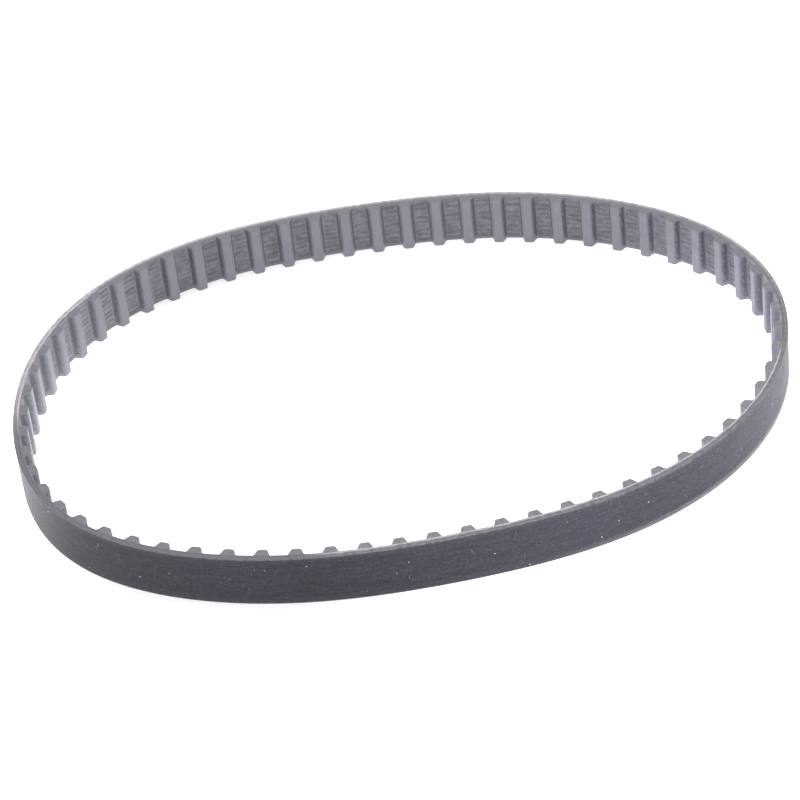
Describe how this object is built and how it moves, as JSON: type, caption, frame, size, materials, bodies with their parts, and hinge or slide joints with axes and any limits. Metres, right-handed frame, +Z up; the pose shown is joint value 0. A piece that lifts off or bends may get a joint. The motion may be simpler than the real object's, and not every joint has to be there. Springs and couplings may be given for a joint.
{
  "type": "timing belt",
  "caption": "Endless rubber timing belt with trapezoidal teeth inside the loop, lying on its edge and sprung into a soft oval.",
  "frame": {"origin": "centre of the loop's outline, level with the cut edge that the belt lies on", "axes": "+X along the oval's longest extent, +Z up across the belt's width"},
  "size_m": [0.1216, 0.0872, 0.0087],
  "materials": {
    "backing": "matte ground rubber",
    "tension_cords": "cut glass fibre cord in rubber",
    "tooth_rubber": "matte moulded rubber, cut at the edges",
    "nylon_facing": "fine woven nylon bonded over the teeth"
  },
  "bodies": {
    "stretch_01": {"backing_01": "backing", "tension_cords_01": "tension_cords", "tooth_rubber_01": "tooth_rubber", "nylon_facing_01": "nylon_facing"},
    "stretch_02": {"backing_02": "backing", "tension_cords_02": "tension_cords", "tooth_rubber_02": "tooth_rubber", "nylon_facing_02": "nylon_facing"},
    "stretch_03": {"backing_03": "backing", "tension_cords_03": "tension_cords", "tooth_rubber_03": "tooth_rubber", "nylon_facing_03": "nylon_facing"},
    "stretch_04": {"backing_04": "backing", "tension_cords_04": "tension_cords", "tooth_rubber_04": "tooth_rubber", "nylon_facing_04": "nylon_facing"},
    "stretch_05": {"backing_05": "backing", "tension_cords_05": "tension_cords", "tooth_rubber_05": "tooth_rubber", "nylon_facing_05": "nylon_facing"},
    "stretch_06": {"backing_06": "backing", "tension_cords_06": "tension_cords", "tooth_rubber_06": "tooth_rubber", "nylon_facing_06": "nylon_facing"},
    "stretch_07": {"backing_07": "backing", "tension_cords_07": "tension_cords", "tooth_rubber_07": "tooth_rubber", "nylon_facing_07": "nylon_facing"},
    "stretch_08": {"backing_08": "backing", "tension_cords_08": "tension_cords", "tooth_rubber_08": "tooth_rubber", "nylon_facing_08": "nylon_facing"},
    "stretch_09": {"backing_09": "backing", "tension_cords_09": "tension_cords", "tooth_rubber_09": "tooth_rubber", "nylon_facing_09": "nylon_facing"},
    "stretch_10": {"backing_10": "backing", "tension_cords_10": "tension_cords", "tooth_rubber_10": "tooth_rubber", "nylon_facing_10": "nylon_facing"},
    "stretch_11": {"backing_11": "backing", "tension_cords_11": "tension_cords", "tooth_rubber_11": "tooth_rubber", "nylon_facing_11": "nylon_facing"},
    "stretch_12": {"backing_12": "backing", "tension_cords_12": "tension_cords", "tooth_rubber_12": "tooth_rubber", "nylon_facing_12": "nylon_facing"},
    "stretch_13": {"backing_13": "backing", "tension_cords_13": "tension_cords", "tooth_rubber_13": "tooth_rubber", "nylon_facing_13": "nylon_facing"}
  },
  "joints": [
    {"name": "flex", "type": "hinge", "parent": "stretch_06", "child": "stretch_05", "pos_m": [-0.00747, -0.04223, 0.00435], "axis": [0, 0, 1], "range_deg": [-16, 13], "stiffness_Nm_per_rad": 0.02},
    {"name": "bend_01", "type": "hinge", "parent": "stretch_02", "child": "stretch_01", "pos_m": [0.05772, 0.01025, 0.00435], "axis": [0, 0, 1], "range_deg": [-10.75, 13.23]},
    {"name": "bend_02", "type": "hinge", "parent": "stretch_03", "child": "stretch_02", "pos_m": [0.05757, -0.01453, 0.00435], "axis": [0, 0, 1], "range_deg": [-12.56, 15.46]},
    {"name": "bend_03", "type": "hinge", "parent": "stretch_04", "child": "stretch_03", "pos_m": [0.04163, -0.03381, 0.00435], "axis": [0, 0, 1], "range_deg": [-2.9, 3.57]},
    {"name": "bend_04", "type": "hinge", "parent": "stretch_05", "child": "stretch_04", "pos_m": [0.01788, -0.04216, 0.00435], "axis": [0, 0, 1], "range_deg": [-10.98, 8.92]},
    {"name": "bend_06", "type": "hinge", "parent": "stretch_07", "child": "stretch_06", "pos_m": [-0.03223, -0.03696, 0.00435], "axis": [0, 0, 1], "range_deg": [-7.28, 5.91]},
    {"name": "bend_07", "type": "hinge", "parent": "stretch_07", "child": "stretch_08", "pos_m": [-0.053, -0.02284, 0.00435], "axis": [0, 0, 1], "range_deg": [-7.44, 6.04]},
    {"name": "bend_08", "type": "hinge", "parent": "stretch_08", "child": "stretch_09", "pos_m": [-0.05997, 0.00095, 0.00435], "axis": [0, 0, 1], "range_deg": [-15.8, 12.84]},
    {"name": "bend_09", "type": "hinge", "parent": "stretch_09", "child": "stretch_10", "pos_m": [-0.05204, 0.02478, 0.00435], "axis": [0, 0, 1], "range_deg": [-10.96, 8.91]},
    {"name": "bend_10", "type": "hinge", "parent": "stretch_10", "child": "stretch_11", "pos_m": [-0.03205, 0.03974, 0.00435], "axis": [0, 0, 1], "range_deg": [-2.61, 3.21]},
    {"name": "bend_11", "type": "hinge", "parent": "stretch_11", "child": "stretch_12", "pos_m": [-0.00699, 0.0427, 0.00435], "axis": [0, 0, 1], "range_deg": [-12.11, 14.9]},
    {"name": "bend_12", "type": "hinge", "parent": "stretch_12", "child": "stretch_13", "pos_m": [0.01813, 0.03914, 0.00435], "axis": [0, 0, 1], "range_deg": [-11.44, 14.08]}
  ],
  "couplings": [
    {"joint": "bend_01", "follows": "flex", "ratio": -0.82684},
    {"joint": "bend_02", "follows": "flex", "ratio": -0.96589},
    {"joint": "bend_03", "follows": "flex", "ratio": -0.22283},
    {"joint": "bend_04", "follows": "flex", "ratio": 0.6861},
    {"joint": "bend_06", "follows": "flex", "ratio": 0.45453},
    {"joint": "bend_07", "follows": "flex", "ratio": 0.46447},
    {"joint": "bend_08", "follows": "flex", "ratio": 0.98699},
    {"joint": "bend_09", "follows": "flex", "ratio": 0.68495},
    {"joint": "bend_10", "follows": "flex", "ratio": -0.20064},
    {"joint": "bend_11", "follows": "flex", "ratio": -0.93126},
    {"joint": "bend_12", "follows": "flex", "ratio": -0.87943}
  ]
}
